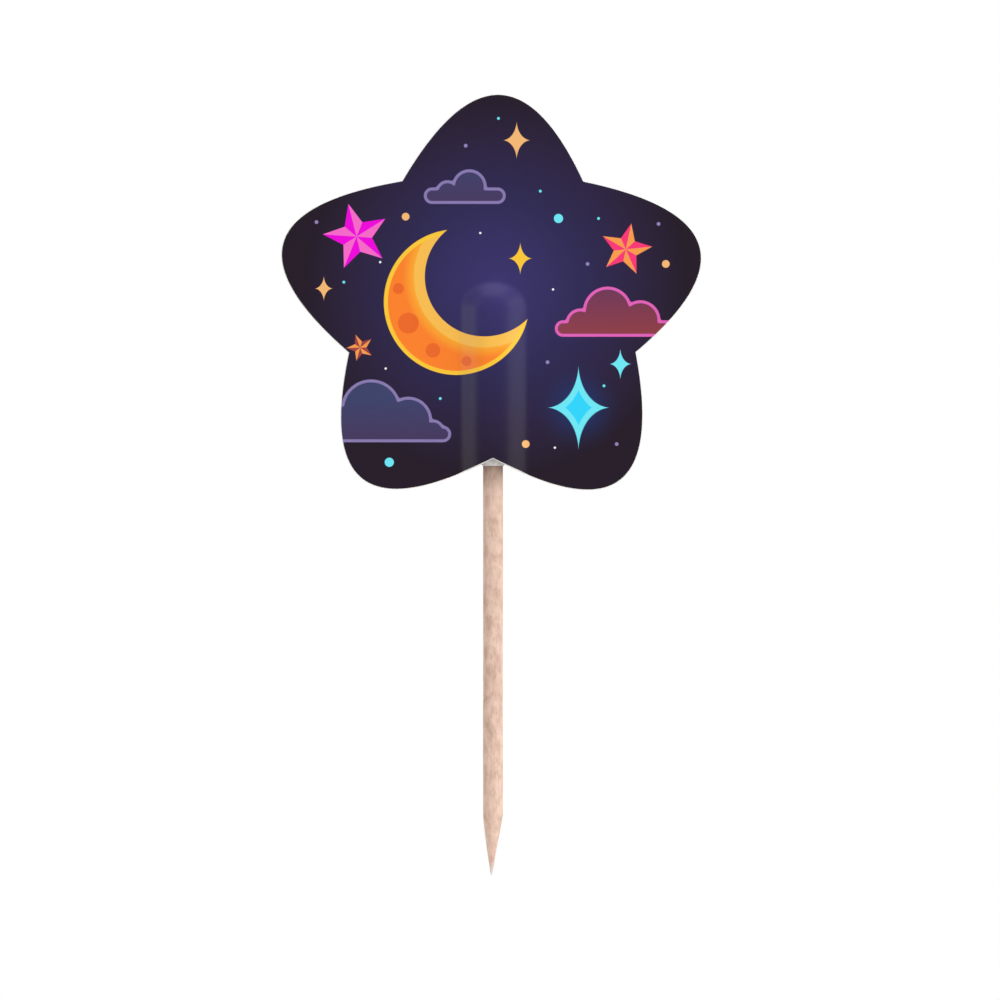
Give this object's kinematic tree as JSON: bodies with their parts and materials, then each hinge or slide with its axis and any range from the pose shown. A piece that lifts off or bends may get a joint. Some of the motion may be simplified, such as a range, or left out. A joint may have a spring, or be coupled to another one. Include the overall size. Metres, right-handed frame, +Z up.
{
  "type": "cupcake pick",
  "caption": "Flat decorative pick for a cupcake: a rounded star of two glued cards, one of them printed, on a thin round wooden pick with a sharp lower end.",
  "frame": {"origin": "the tip of the pick's sharp lower end, which is pushed into the cake", "axes": "+Z up along the pick, -Y out of the printed front card, +X to the right as that card is seen"},
  "size_m": [0.0462, 0.0032, 0.0859],
  "materials": {
    "birch_wood": "bare, sanded",
    "printed_card": "printed, satin coating",
    "plain_card": "white, uncoated",
    "adhesive_film": "clear, tacky",
    "white_glue": "dried white glue"
  },
  "bodies": {
    "root": {"wooden_pick": "birch_wood", "front_card": "printed_card", "back_card": "plain_card", "adhesive_film": "adhesive_film", "glue_bead": "white_glue"}
  },
  "joints": []
}
